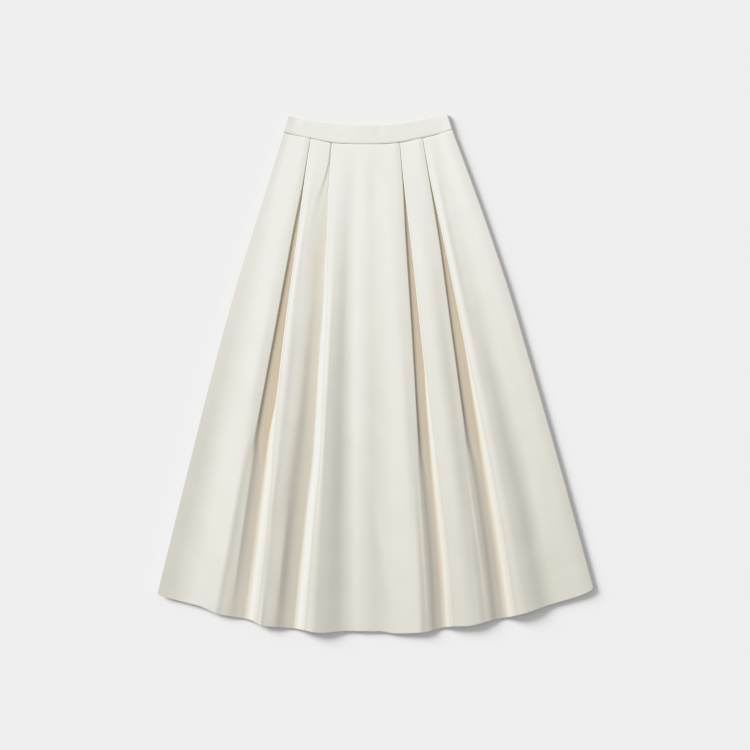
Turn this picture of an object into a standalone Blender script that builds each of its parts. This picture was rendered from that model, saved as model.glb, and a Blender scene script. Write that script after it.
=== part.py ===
"""A-line midi skirt, laid flat on its back with the front up and the waist towards +Y.

The skirt is drawn as a fan. An angle is measured about the point where the two side lines would
meet, from straight down the front, and is positive to the right. "Down" is the distance below the
waist seam. Lengths and heights are in millimetres, angles in degrees.
"""
import math

import bmesh
import bpy
import numpy as np

MM = 0.001                      # metres in a millimetre

# Overall sizes
FAN_CENTRE = (-23.35, 981.75)   # x and y of the point that the side lines fan out from
WAIST_RADIUS = 557.2            # waist seam, from the fan's centre
SKIRT_LENGTH = 900.0            # waist seam to hem down the middle of the front
BAND_DEPTH = 35.0               # waistband, top edge to seam, at its middle
BACK_ANGLE = 1.0                # centre back line
CLOTH = 1.2                     # wall of the panels
BAND_CLOTH = 1.4                # wall of the waistband
SEAM_GAP = 0.3                  # between two pieces that are sewn together
FOLD = 0.8                      # radius of a pressed fold, at the middle of the wall
SIDE_SEAM_HEIGHT = 4.15         # the side seam runs half way up the rounded side
SEAM_STAND = 0.3                # the cloth stands upright for this much above a side seam
SIDE_REACH = 4.0                # how far the rounding of a side reaches from its corner
HEM_SETBACK = 6.0               # the back's hem lies this far inside the front's
SHARP_ANGLE = 50                # edges that turn more than this are shaded sharp

# Cross-sections of the front
FOLD_POINTS = 2                 # points round each corner of a fold
SOFT_POINTS = 3                 # and round each soft crest or trough
SLOPE_SETTLED = 10.0            # a side that has opened this far is a full slope
SLOPE_EASE = 0.2                # rounding past each end of a slope, as a share of its width
SLOPE_EASE_MOST = 6.0
SLOPE_STEP = 0.2                # share of its drop that a slope's soft end takes up
SLOPE_LEAN = 0.3                # share of its width that this end takes up
ROLL_POINTS = 1                 # and where the cloth rolls down beside a fold
CREST_WIDTH = 7.0               # the cloth is level over this width beside a right fold
WIDE_ROLL = (13.0, 0.42)        # and rolls down towards a left fold: over this width, and by this share
NARROW_ROLL = (5.0, 0.08)       # of the fold's height. The second is for the narrow panel

# Cross-sections of the back, and the distances down at which the panels have one
SIDE_CURL = ((0, 1), (0, 0.55), (0.15, 0.2), (0.5, 0), (1.2, 0))  # shares of the rise, inward and upward
BACK_SPANS = 4                  # stretches of the back between its side and the part over the tab
LAST_SPAN = 0.8                 # least width of the last stretch, at the centre back
LIFT_SHARES = (1.0, 0.8, 0.6, 0.42, 0.25, 0.1)  # points over the tab, as shares of the wider half width
FRONT_DOWNS = (SEAM_GAP / 2, 18, 36, 52, 66, 81, 110, 145, 183, 250, 331, 405, 450, 479, 520, 560, 627, 700, 775,
               840, SKIRT_LENGTH)
BACK_DOWNS = (SEAM_GAP / 2, 8, 16, 30, 60, 116, 190, 250, 315, 405, 500, 640, 820, SKIRT_LENGTH)

# Side lines. Columns: down, left angle, right angle, height of the rounded left side, and right side
SIDES = (
    (0, -15.38, 17.40, 6.4, 6.4),
    (70, -15.55, 17.75, 6.4, 6.4),
    (180, -15.85, 18.08, 6.6, 6.4),
    (300, -16.05, 18.18, 7.2, 6.5),
    (450, -15.98, 17.95, 8.6, 6.6),
    (640, -15.72, 17.66, 9.8, 6.7),
    (900, -15.38, 17.26, 9.6, 6.7),
)
RIGHT_ROLL = (15.0, 1.2)        # the right side rolls down over this width, by this much

# Waist lines. Columns: angle, radius of the waist seam, radius of the waistband's top edge
WAIST = (
    (-15.4, 555.0, 523.0),
    (-9.5, 555.0, 521.8),
    (-5.5, 557.4, 521.8),
    (0.0, 557.2, 521.8),
    (6.0, 558.4, 523.0),
    (11.5, 557.0, 523.4),
    (15.0, 556.8, 523.8),
    (17.4, 556.2, 525.4),
)

# Hem line. Columns: angle, radius from the fan's centre
HEM = (
    (-15.4, 1441.5),
    (-12.2, 1443.0),
    (-10.3, 1451.0),
    (-8.3, 1451.5),
    (-7.2, 1459.5),
    (-4.8, 1458.5),
    (-3.2, 1463.0),
    (-1.0, 1458.0),
    (1.2, 1458.5),
    (2.4, 1463.5),
    (4.3, 1464.5),
    (6.3, 1458.5),
    (7.9, 1461.5),
    (9.6, 1457.5),
    (11.7, 1456.5),
    (14.0, 1451.0),
    (16.0, 1449.5),
    (17.4, 1445.5),
)

# Soft folds that run down the front. Each has its angle and then its height at these distances down
SOFT_DOWN = (0, 110, 250, 450, 650, 900)
SOFT_FOLDS = {
    "left_trough": ((-14.2, -14.4, -14.0, -13.6, -13.6, -13.4), (5.3, 5.3, 4.9, 4.2, 4.2, 4.4)),
    "left_crest": ((-12.3, -12.0, -11.8, -11.5, -11.5, -11.6), (5.6, 6.2, 6.8, 7.6, 8.4, 8.2)),
    "left_middle": ((-7.8, -8.3, -8.3, -8.0, -7.9, -7.6), (5.5, 6.2, 7.8, 10.4, 12.0, 11.8)),
    "inner_crest": ((-4.4, -4.2, -4.0, -3.9, -3.85, -3.8), (5.6, 6.6, 9.0, 12.4, 14.2, 14.4)),
    "inner_slope": ((-3.3, -3.2, -3.1, -3.0, -2.8, -2.7), (5.9, 6.2, 7.8, 10.2, 11.6, 11.4)),
    "centre_trough_left": ((-1.4, -1.8, -1.7, -1.5, -1.35, -1.1), (6.2, 4.9, 4.2, 3.8, 3.8, 4.0)),
    "centre_crest": ((0.6, 0.3, 0.1, 0.0, 0.1, 0.2), (6.4, 6.0, 6.2, 6.6, 6.6, 6.4)),
    "centre_trough_right": ((2.4, 2.3, 2.2, 2.1, 1.9, 1.7), (6.2, 5.4, 5.0, 4.6, 4.6, 4.8)),
    "centre_crest_right": ((4.3, 4.1, 4.0, 4.0, 3.8, 3.4), (5.7, 6.4, 7.2, 8.2, 9.2, 9.4)),
    "right_middle": ((8.9, 8.7, 8.6, 8.4, 8.0, 7.4), (5.5, 6.2, 7.6, 9.6, 10.8, 11.0)),
    "right_crest": ((12.6, 12.4, 12.3, 12.2, 12.0, 11.7), (5.6, 6.6, 8.6, 12.0, 14.0, 13.8)),
    "right_slope": ((13.4, 13.1, 13.0, 12.9, 12.8, 12.4), (5.6, 6.0, 7.6, 10.4, 12.0, 12.0)),
    "right_trough": ((14.6, 14.6, 14.5, 14.3, 14.2, 13.8), (5.4, 5.4, 5.6, 5.6, 5.6, 5.8)),
}

# Pleats. Columns: down, angle of the left fold, opening between the folds, cloth turned back under
# the left fold and under the right fold (less than nothing where that side has opened into a slope),
# height of the underlay, height of the left fold and of the right fold
OUTER_LEFT_PLEAT = (
    (0, -9.93, 0.4, 15, 12, 2.1, 5.4, 5.4),
    (72, -9.90, 1.6, 16, 13, 2.1, 5.4, 5.5),
    (183, -10.10, 9, 15, 12, 2.2, 5.6, 6.2),
    (331, -10.16, 15.5, 12, 9, 2.3, 5.8, 7.8),
    (479, -10.22, 25.5, 4, 1, 2.5, 6.3, 10.2),
    (560, -10.24, 30.5, -3, -5, 2.7, 6.8, 11.2),
    (627, -10.24, 36, -12, -8, 2.9, 7.4, 11.8),
    (775, -10.15, 43.5, -21, -12, 3.1, 8.0, 12.0),
    (900, -10.15, 51, -26, -14, 3.3, 7.8, 11.2),
)
INNER_LEFT_PLEAT = (
    (0, -5.83, 0.4, 7, 15, 2.1, 5.4, 5.4),
    (36, -5.95, 2.5, 2, 14, 2.1, 6.1, 5.5),
    (60, -6.40, 9, -4, 13, 2.1, 6.2, 5.7),
    (81, -6.80, 16, -10, 10, 2.3, 6.0, 6.0),
    (183, -7.25, 28, -24, 4, 2.6, 6.2, 7.2),
    (331, -7.05, 35.5, -24, -4, 2.7, 7.2, 9.6),
    (479, -7.00, 44, -28, -7, 2.8, 8.8, 12.2),
    (627, -7.25, 56.5, -38, -9, 2.9, 11.0, 13.6),
    (775, -7.05, 56.5, -33, -12, 3.1, 11.0, 13.8),
    (900, -6.98, 60, -33, -15.5, 3.2, 10.6, 13.4),
)
INNER_RIGHT_PLEAT = (
    (0, 7.12, 0.4, 14, 14, 2.1, 5.4, 5.4),
    (60, 6.86, 1.0, 14, 14, 2.1, 5.4, 5.5),
    (183, 6.24, 8.5, 14, 12, 2.2, 5.6, 6.2),
    (331, 5.84, 14.5, 11, 5, 2.3, 5.8, 8.0),
    (479, 5.48, 22, 4, -3, 2.5, 6.2, 9.6),
    (560, 5.32, 25.5, 0, -5, 2.7, 6.6, 10.2),
    (627, 5.18, 28.5, -6, -7, 2.9, 7.2, 10.6),
    (775, 5.02, 33.5, -15, -11, 3.2, 8.4, 11.2),
    (900, 4.78, 38, -17.5, -12, 3.4, 8.6, 11.0),
)
OUTER_RIGHT_PLEAT = (
    (0, 11.55, 0.4, 14, 14, 2.1, 5.4, 5.4),
    (76, 11.25, 1.4, 14, 14, 2.1, 5.4, 5.5),
    (183, 10.97, 7, 14, 12, 2.2, 5.6, 6.6),
    (331, 10.44, 16.5, 11, 4, 2.3, 5.8, 9.0),
    (479, 10.06, 23, 3, -5, 2.5, 6.2, 11.4),
    (560, 9.88, 27, -3, -7, 2.7, 6.8, 12.6),
    (627, 9.76, 29.5, -9, -9, 2.9, 7.4, 13.2),
    (775, 9.48, 35.5, -16, -12, 3.2, 8.6, 13.4),
    (900, 9.16, 41, -18, -14, 3.4, 9.0, 13.0),
)

BAND_ROWS = 4                   # cross-sections of the waistband's front, and where its back has them
BAND_BACK_DOWNS = (-BAND_DEPTH, -29.4, -25.3, -23.3, -16, -8, -SEAM_GAP / 2)
BAND_SIDE_RISE = 0.6            # its sides stand this much above the panel's

# Waistband front. Columns: angle, height at the top edge, height at the seam
BAND_FRONT = (
    (-13.6, 5.7, 5.9),
    (-9.0, 6.2, 6.0),
    (-5.0, 6.1, 6.3),
    (-1.5, 6.8, 6.6),
    (1.0, 6.9, 6.7),
    (3.5, 6.8, 6.6),
    (8.0, 6.1, 6.2),
    (12.0, 6.2, 6.0),
    (15.5, 5.7, 5.9),
)

# Concealed zip in the centre back seam. The cloth rises over the pull tab, which lies beneath it
LIFT = 2.1                      # rise of the back over the tab
LIFT_HALF_WIDTHS = (5.0, 22.0)  # full lift to the first, none past the second
LIFT_DOWNS = (-8.0, 30.0)       # full lift above the first, none below the second
TAPE_OFFSETS = (-12, -8, -5, -3.4, -2, -0.8, 0.8, 2, 3.4, 5, 8, 12)  # points across the tape
TAPE_CLOTH = 1.0
TAPE_DOWNS = (-25, -16, -8, 0, 10, 20, 32, 60, 120, 185)  # cross-sections, the ends included
COIL_HALF_WIDTHS = (1.0, 2.8)   # full rise to the first, none past the second
COIL_RISE = 0.6
SLIT_HALF_WIDTH = 0.9           # gap that the slider's neck passes through
SLIDER_DOWN = -29.4             # middle of the slider
SLIT_END = -25.3                # the halves of the band meet again below this
SLIDER_BODY = (5.0, 7.0, 1.6)   # width, length, thickness
BODY_BEVEL = 0.5
CROWN_WIDTH = 1.0
CROWN_HALF_LENGTH = 2.6
CROWN_WALL = 0.7
CROWN_BOTTOM = 0.1              # height of the crown above what the skirt lies on
PIVOT_HEIGHT = 1.4
PIVOT_CLEARANCE = 0.7           # from the tab's axis to the crown
TAB_THICKNESS = 0.8
TAB_LENGTH = 20.0               # from the pivot's axis
TAB_HALF_WIDTHS = (1.8, 2.6)    # at the eye and at the widest
TAB_EDGE = ((0, 4.6), (1, 15.0), (1, 18.0), (-0.3, 19.6))  # share of the widening, and distance along
EYE_HALF_WIDTH = 0.95
EYE_LENGTH = 3.6                # from the pivot's axis to the far end of the eye

# Finishes: colour, roughness, metallic
IVORY_CLOTH = ((0.86, 0.84, 0.78, 1.0), 0.85, 0.0)
IVORY_TAPE = ((0.82, 0.80, 0.74, 1.0), 0.8, 0.0)
IVORY_ENAMEL = ((0.80, 0.78, 0.71, 1.0), 0.35, 0.0)


def clear_scene():
    for item in list(bpy.data.objects):
        bpy.data.objects.remove(item, do_unlink=True)


def make_material(name, colour, roughness, metallic):
    material = bpy.data.materials.new(name)
    material.use_nodes = True
    shader = material.node_tree.nodes["Principled BSDF"]
    shader.inputs["Base Color"].default_value = colour
    shader.inputs["Roughness"].default_value = roughness
    shader.inputs["Metallic"].default_value = metallic
    return material


def eased(table, position):
    """The other columns of a table at a value of its first column, eased without overshoot."""
    rows = np.array(table, dtype=float)
    stops, values = rows[:, 0], rows[:, 1:]
    steps = np.diff(stops)[:, None]
    rises = np.diff(values, axis=0) / steps
    product = rises[:-1] * rises[1:]
    total = rises[:-1] + rises[1:]
    slopes = np.zeros_like(values)
    slopes[0], slopes[-1] = rises[0], rises[-1]
    slopes[1:-1] = np.where(product > 0, 2 * product / np.where(product > 0, total, 1), 0)
    position = min(max(position, stops[0]), stops[-1])
    k = min(int(np.searchsorted(stops, position, side="right")) - 1, len(stops) - 2)
    u = (position - stops[k]) / steps[k, 0]
    before, after = values[k], values[k + 1]
    swing = steps[k, 0] * (u * (1 - u) ** 2 * slopes[k] - u * u * (1 - u) * slopes[k + 1])
    return before + (after - before) * u * u * (3 - 2 * u) + swing


def ramp(value, full, none):
    """1 on the full side, 0 on the other, eased between."""
    u = min(max((value - none) / (full - none), 0.0), 1.0)
    return u * u * (3 - 2 * u)


def rounded(corners):
    """A line of points round corners (along, height, reach, points), each turned as widely as its reach
    and half of its two sides allow."""
    line = [corners[0][:2]]
    for before, corner, after in zip(corners, corners[1:], corners[2:]):
        here = np.array(corner[:2])
        back, ahead = np.array(before[:2]) - here, np.array(after[:2]) - here
        reach = min(corner[2], 0.5 * np.linalg.norm(back), 0.5 * np.linalg.norm(ahead))
        start = here + back * (reach / np.linalg.norm(back))
        end = here + ahead * (reach / np.linalg.norm(ahead))
        for i in range(corner[3]):
            u = (i + 0.5) / corner[3]
            line.append(tuple(start * (1 - u) ** 2 + 2 * here * u * (1 - u) + end * u * u))
    line.append(corners[-1][:2])
    return line


def place(along, down, height, setback=0.0):
    """A point in metres, from its distance along the arc at its row. Row 0 is the waist seam, the first
    row is the waistband's top edge and the last one is the hem."""
    turn = along / (WAIST_RADIUS + down)
    seam, band_top = eased(WAIST, math.degrees(turn))
    if down > 0:
        hem = eased(HEM, math.degrees(turn))[0] - setback
        radius = seam + down / SKIRT_LENGTH * (hem - seam)
    else:
        radius = seam + down / BAND_DEPTH * (seam - band_top)
    x = FAN_CENTRE[0] + radius * math.sin(turn)
    y = FAN_CENTRE[1] - radius * math.cos(turn)
    return (x * MM, y * MM, height * MM)


def pleat_side(edge, under, low, top, outward, roll):
    """Five corners from the panel beside a fold down to its underlay, which lies on the side that
    outward (1 or -1) points to. Cloth turned back (under) makes a Z. Less than nothing makes a slope
    with soft ends."""
    slope = max(-under, 0.0)
    ease = min(SLOPE_EASE * slope, SLOPE_EASE_MOST)
    openness = min(slope / SLOPE_SETTLED, 1.0)
    turn = 2 * FOLD
    step = turn + max(SLOPE_STEP * (top - low) - turn, 0.0) * openness
    foot = edge - outward * under
    lean = outward * SLOPE_LEAN * slope
    reach = FOLD + slope
    roll_width, roll_share = roll
    return [
        (edge - outward * (ease + roll_width), top + roll_share * (top - low), roll_width, ROLL_POINTS),
        (edge - outward * ease, top, reach, FOLD_POINTS),
        (edge + lean, top - step, reach, FOLD_POINTS),
        (foot - lean, low + step, reach, FOLD_POINTS),
        (foot + outward * ease, low, reach, FOLD_POINTS),
    ]


def pleat_corners(table, down, roll=WIDE_ROLL):
    """Ten corners of a pleat, from the panel on its left to the panel on its right."""
    angle, opening, under_left, under_right, low, left_top, right_top = eased(table, down)
    left = math.radians(angle) * (WAIST_RADIUS + down) - CLOTH / 2
    right = left + CLOTH + opening
    left_side = pleat_side(left, under_left, low, left_top, 1, roll)
    right_side = pleat_side(right, under_right, low, right_top, -1, (CREST_WIDTH, 0.0))
    return left_side + right_side[::-1]


def front_corners(down):
    """Corners of the front's cross-section, from the left side seam to the right one."""
    radius = WAIST_RADIUS + down
    left_angle, right_angle, left_top, right_top = eased(SIDES, down)
    left = math.radians(left_angle) * radius + CLOTH / 2
    right = math.radians(right_angle) * radius - CLOTH / 2
    seam = SIDE_SEAM_HEIGHT + SEAM_GAP / 2
    stand = seam + SEAM_STAND

    def soft(*names):
        corners = []
        for name in names:
            angles, heights = SOFT_FOLDS[name]
            angle = eased(list(zip(SOFT_DOWN, angles)), down)[0]
            height = eased(list(zip(SOFT_DOWN, heights)), down)[0]
            corners.append((math.radians(angle) * radius, height, radius, SOFT_POINTS))
        return corners

    return (
        [(left, seam), (left, stand, 0, 1), (left, left_top, SIDE_REACH, SOFT_POINTS)]
        + soft("left_trough", "left_crest")
        + pleat_corners(OUTER_LEFT_PLEAT, down)
        + soft("left_middle")
        + pleat_corners(INNER_LEFT_PLEAT, down, NARROW_ROLL)
        + soft("inner_crest", "inner_slope", "centre_trough_left", "centre_crest")
        + soft("centre_trough_right", "centre_crest_right")
        + pleat_corners(INNER_RIGHT_PLEAT, down)
        + soft("right_middle")
        + pleat_corners(OUTER_RIGHT_PLEAT, down)
        + soft("right_crest", "right_slope", "right_trough")
        + [(right - RIGHT_ROLL[0], right_top + RIGHT_ROLL[1], RIGHT_ROLL[0], ROLL_POINTS),
           (right, right_top, SIDE_REACH, SOFT_POINTS), (right, stand, 0, 1), (right, seam)]
    )


def back_line(down):
    """Distance along its row of the centre back."""
    return math.radians(BACK_ANGLE) * (WAIST_RADIUS + down)


def lift(from_back_line, down):
    """Rise of the back over the pull tab."""
    across = ramp(abs(from_back_line), *LIFT_HALF_WIDTHS)
    return LIFT * across * ramp(down, *LIFT_DOWNS)


def back_section(side, down, wall, slit):
    """The right or left half (side 1 or -1) of the back, from its side seam to the centre back."""
    radius = WAIST_RADIUS + down
    side_angle = eased(SIDES, down)[1 if side > 0 else 0]
    outer = abs(math.radians(side_angle - BACK_ANGLE)) * radius - wall / 2
    top = SIDE_SEAM_HEIGHT - SEAM_GAP / 2
    middle = wall / 2
    turn = top - middle
    inner = LIFT_HALF_WIDTHS[1]
    points = [(outer - turn * inward, middle + turn * upward) for inward, upward in SIDE_CURL]
    points += [(outer + (inner - outer) * i / BACK_SPANS, middle) for i in range(1, BACK_SPANS)]
    for share in LIFT_SHARES:
        offset = max(share * inner, slit + LAST_SPAN)
        points.append((offset, middle + lift(offset, down)))
    points.append((slit, middle + lift(slit, down)))
    return [(back_line(down) + side * along, height) for along, height in points]


def add_object(name, mesh, finish, collection):
    item = bpy.data.objects.new(name, mesh)
    mesh.materials.append(make_material(name, *finish))
    collection.objects.link(item)
    return item


def offset_line(line, distance):
    """A line of section points moved sideways, to its left for a distance above nothing."""
    points = np.array(line)
    runs = np.diff(points, axis=0)
    runs /= np.linalg.norm(runs, axis=1)[:, None]
    sides = np.column_stack((-runs[:, 1], runs[:, 0]))
    before, after = np.vstack((sides[:1], sides)), np.vstack((sides, sides[-1:]))
    middle = before + after
    middle *= (2 / np.sum(middle * middle, axis=1))[:, None]
    return points + middle * distance


def add_wall(name, sections, wall, collection, setback=0.0, finish=IVORY_CLOTH):
    """A cloth wall through sections (down, line), each line being the middle of the wall. Its upper and
    lower sides are split along the same diagonals, so they stay apart where a fold twists."""
    shell = bmesh.new()
    rings = []
    for down, line in sections:
        upper, lower = offset_line(line, wall / 2), offset_line(line, -wall / 2)
        ring = list(upper) + list(lower[::-1])
        rings.append([shell.verts.new(place(along, down, height, setback)) for along, height in ring])
    count = len(rings[0])
    for first, second in zip(rings, rings[1:]):
        for i in range(count):
            k = (i + 1) % count
            if i < count // 2:
                corners = (first[i], second[i], second[k]), (first[i], second[k], first[k])
            else:
                corners = (first[i], second[i], first[k]), (second[i], second[k], first[k])
            for triangle in corners:
                shell.faces.new(triangle)
    for ring in (rings[0], rings[-1]):
        for i in range(count // 2 - 1):
            shell.faces.new((ring[i], ring[i + 1], ring[count - 2 - i], ring[count - 1 - i]))
    bmesh.ops.recalc_face_normals(shell, faces=shell.faces)
    mesh = bpy.data.meshes.new(name)
    shell.to_mesh(mesh)
    shell.free()
    mesh.shade_smooth()
    mesh.set_sharp_from_angle(angle=math.radians(SHARP_ANGLE))
    return add_object(name, mesh, finish, collection)


def build_front(collection):
    sections = [(down, rounded(front_corners(down))) for down in FRONT_DOWNS]
    add_wall("front_panel", sections, CLOTH, collection)


def build_back(side, name, collection):
    sections = [(down, back_section(side, down, CLOTH, SEAM_GAP / 2)) for down in BACK_DOWNS]
    add_wall(name, sections, CLOTH, collection, HEM_SETBACK)


def build_band_front(collection):
    seam, top = SIDE_SEAM_HEIGHT + SEAM_GAP / 2, SIDES[0][3] + BAND_SIDE_RISE
    stand = seam + SEAM_STAND
    sections = []
    for row in range(BAND_ROWS):
        share = row / (BAND_ROWS - 1)
        down = -BAND_DEPTH * (1 - share) - SEAM_GAP / 2 * share
        radius = WAIST_RADIUS + down
        left = math.radians(SIDES[0][1]) * radius + BAND_CLOTH / 2
        right = math.radians(SIDES[0][2]) * radius - BAND_CLOTH / 2
        corners = [(left, seam), (left, stand, 0, 1), (left, top, SIDE_REACH, SOFT_POINTS)]
        for angle, upper, lower in BAND_FRONT:
            height = upper + (lower - upper) * share
            corners.append((math.radians(angle) * radius, height, radius, SOFT_POINTS))
        corners += [(right, top, SIDE_REACH, SOFT_POINTS), (right, stand, 0, 1), (right, seam)]
        sections.append((down, rounded(corners)))
    add_wall("waistband_front", sections, BAND_CLOTH, collection)


def build_band_back(side, name, collection):
    sections = []
    for down in BAND_BACK_DOWNS:
        slit = SLIT_HALF_WIDTH if down <= SLIT_END else SEAM_GAP / 2
        sections.append((down, back_section(side, down, BAND_CLOTH, slit)))
    add_wall(name, sections, BAND_CLOTH, collection)


def build_zip_tape(collection):
    """The tapes and the closed coil, which stands up as a ridge down their middle."""
    base = BAND_CLOTH + SEAM_GAP + TAPE_CLOTH / 2
    sections = []
    for down in TAPE_DOWNS:
        line = []
        for offset in TAPE_OFFSETS:
            coil = COIL_RISE * ramp(abs(offset), *COIL_HALF_WIDTHS)
            line.append((back_line(down) + offset, base + coil + lift(0, down)))
        sections.append((down, line))
    add_wall("zip_tape", sections, TAPE_CLOTH, collection, finish=IVORY_TAPE)


def outline_solid(name, outlines, thickness):
    """A flat plate from closed outlines in its own plane, the first the outside and the rest holes."""
    curve = bpy.data.curves.new(name, "CURVE")
    curve.dimensions = "2D"
    curve.fill_mode = "BOTH"
    curve.extrude = thickness / 2 * MM
    for outline in outlines:
        spline = curve.splines.new("POLY")
        spline.points.add(len(outline) - 1)
        for point, (x, y) in zip(spline.points, outline):
            point.co = (x * MM, y * MM, 0, 1)
        spline.use_cyclic_u = True
    carrier = bpy.data.objects.new(name, curve)
    bpy.context.scene.collection.objects.link(carrier)
    bpy.context.view_layer.update()
    evaluated = carrier.evaluated_get(bpy.context.evaluated_depsgraph_get())
    mesh = bpy.data.meshes.new_from_object(evaluated)
    plate = bmesh.new()
    plate.from_mesh(mesh)
    bmesh.ops.remove_doubles(plate, verts=plate.verts, dist=0.00001)
    plate.to_mesh(mesh)
    plate.free()
    mesh.materials.clear()
    bpy.data.objects.remove(carrier, do_unlink=True)
    return mesh


def box_outline(x_low, x_high, y_low, y_high):
    return [(x_low, y_low), (x_high, y_low), (x_high, y_high), (x_low, y_high)]


def build_zip_slider(collection, cutters):
    """The slider: a body inside the band, and a crown through the slit that carries the tab."""
    turn = math.radians(BACK_ANGLE)
    width, length, thickness = SLIDER_BODY
    body_low = LIFT + BAND_CLOTH + SEAM_GAP
    plate_top = body_low + thickness / 2
    crown = outline_solid("zip_slider", (
        box_outline(-CROWN_HALF_LENGTH, CROWN_HALF_LENGTH, CROWN_BOTTOM, plate_top),
        box_outline(-CROWN_HALF_LENGTH + CROWN_WALL, CROWN_HALF_LENGTH - CROWN_WALL,
                    PIVOT_HEIGHT - PIVOT_CLEARANCE, PIVOT_HEIGHT + PIVOT_CLEARANCE)), CROWN_WIDTH)
    slider = add_object("zip_slider", crown, IVORY_ENAMEL, collection)
    x, y, _ = place(back_line(SLIDER_DOWN), SLIDER_DOWN, 0)
    slider.location = (x, y, 0)
    slider.rotation_euler = (math.pi / 2, 0, math.pi / 2 + turn)
    bpy.ops.mesh.primitive_cube_add(size=1.0, location=(x, y, (body_low + thickness / 2) * MM))
    body = bpy.context.object
    body.name = "slider_body"
    body.rotation_euler = (0, 0, turn)
    body.dimensions = (width * MM, length * MM, thickness * MM)
    bpy.ops.object.transform_apply(location=False, rotation=False, scale=True)
    for holder in list(body.users_collection):
        holder.objects.unlink(body)
    cutters.objects.link(body)
    body.hide_render = True
    body.display_type = "WIRE"
    bevel = body.modifiers.new("edges", "BEVEL")
    bevel.width = BODY_BEVEL * MM
    bevel.segments = 2
    joined = slider.modifiers.new("body", "BOOLEAN")
    joined.operation = "UNION"
    joined.object = body


def build_zip_pull(collection):
    """The pull tab, lying flat under the band. Its end bar turns in the crown about the x axis."""
    eye_width, wide = TAB_HALF_WIDTHS
    bar = TAB_THICKNESS / 2
    side = [(eye_width, bar)]
    side += [(eye_width + (wide - eye_width) * share, -along) for share, along in TAB_EDGE]
    side += [(0, -TAB_LENGTH)]
    outline = side + [(-x, y) for x, y in reversed(side[:-1])]
    eye = box_outline(-EYE_HALF_WIDTH, EYE_HALF_WIDTH, -EYE_LENGTH, -bar)
    mesh = outline_solid("zip_pull", (outline, eye), TAB_THICKNESS)
    tab = add_object("zip_pull", mesh, IVORY_ENAMEL, collection)
    tab.location = place(back_line(SLIDER_DOWN), SLIDER_DOWN, PIVOT_HEIGHT)
    tab.rotation_euler = (0, 0, math.radians(BACK_ANGLE))


def build_skirt():
    clear_scene()
    collection = bpy.data.collections.new("a_line_midi_skirt")
    cutters = bpy.data.collections.new("construction_shapes")
    bpy.context.scene.collection.children.link(collection)
    bpy.context.scene.collection.children.link(cutters)
    build_front(collection)
    build_back(-1, "back_panel_left", collection)
    build_back(1, "back_panel_right", collection)
    build_band_front(collection)
    build_band_back(-1, "waistband_back_left", collection)
    build_band_back(1, "waistband_back_right", collection)
    build_zip_tape(collection)
    build_zip_slider(collection, cutters)
    build_zip_pull(collection)


build_skirt()
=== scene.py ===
import math

import bpy
import numpy as np
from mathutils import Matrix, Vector


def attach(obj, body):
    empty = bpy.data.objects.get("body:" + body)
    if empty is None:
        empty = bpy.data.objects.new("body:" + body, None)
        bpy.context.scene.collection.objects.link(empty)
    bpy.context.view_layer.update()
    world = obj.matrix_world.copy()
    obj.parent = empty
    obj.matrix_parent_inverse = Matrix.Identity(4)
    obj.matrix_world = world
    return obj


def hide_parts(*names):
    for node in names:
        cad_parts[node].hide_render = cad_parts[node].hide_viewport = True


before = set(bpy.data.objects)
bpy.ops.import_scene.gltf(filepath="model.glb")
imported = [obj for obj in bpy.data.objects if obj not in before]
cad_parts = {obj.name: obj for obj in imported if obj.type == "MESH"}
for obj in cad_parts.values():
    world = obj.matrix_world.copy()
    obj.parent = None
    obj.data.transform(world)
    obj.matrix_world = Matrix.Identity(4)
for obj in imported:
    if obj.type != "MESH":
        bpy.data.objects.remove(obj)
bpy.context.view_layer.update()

# Floor and light. The skirt lies on a plain pale floor and is seen from straight above, lit softly
# from the upper left, so that its folds shade to the lower right.
MM = 0.001
FRAME_WIDTH = 1.3875  # width of floor in the square picture
VIEW_CENTRE = (-0.00025, -0.00245)
LENS, SENSOR = 200.0, 36.0
FLOOR_SIZE = 60.0
FLOOR_DROP = 0.0002  # the floor lies this far under the cloth
FLOOR_GREY = (0.875, 0.875, 0.88, 1.0)
SKY_GREY = (0.86, 0.86, 0.86, 1.0)
FARTHEST = 100.0  # the camera sees as far as this
SKY_LIGHT = 0.48  # light on the floor that comes from all round
KEY_LIGHT = 0.59  # and from the large soft light at the upper left
KEY_TURN, KEY_HEIGHT = 55.0, 22.0  # in degrees: left of the waist end, and up
KEY_SPREAD = 28.0  # and its width, which softens the shadows
TONE_CURVE = ((0.0, 0.0), (0.45, 0.45), (0.75, 0.75), (0.86, 0.83), (0.93, 0.86), (1.0, 0.88))

camera_data = bpy.data.cameras.new("camera")
camera_data.lens = LENS
camera_data.sensor_width = SENSOR
camera_data.clip_end = FARTHEST
camera = bpy.data.objects.new("camera", camera_data)
bpy.context.scene.collection.objects.link(camera)
camera.location = (*VIEW_CENTRE, FRAME_WIDTH * LENS / SENSOR)
bpy.context.scene.camera = camera

key_turn, key_height = math.radians(KEY_TURN), math.radians(KEY_HEIGHT)
key_direction = Vector((-math.sin(key_turn) * math.cos(key_height),
                        math.cos(key_turn) * math.cos(key_height), math.sin(key_height)))
key_data = bpy.data.lights.new("key_light", "SUN")
key_data.energy = math.pi * KEY_LIGHT / math.sin(key_height)
key_data.angle = math.radians(KEY_SPREAD)
key = bpy.data.objects.new("key_light", key_data)
key.rotation_euler = key_direction.to_track_quat("Z", "Y").to_euler()
bpy.context.scene.collection.objects.link(key)

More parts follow.
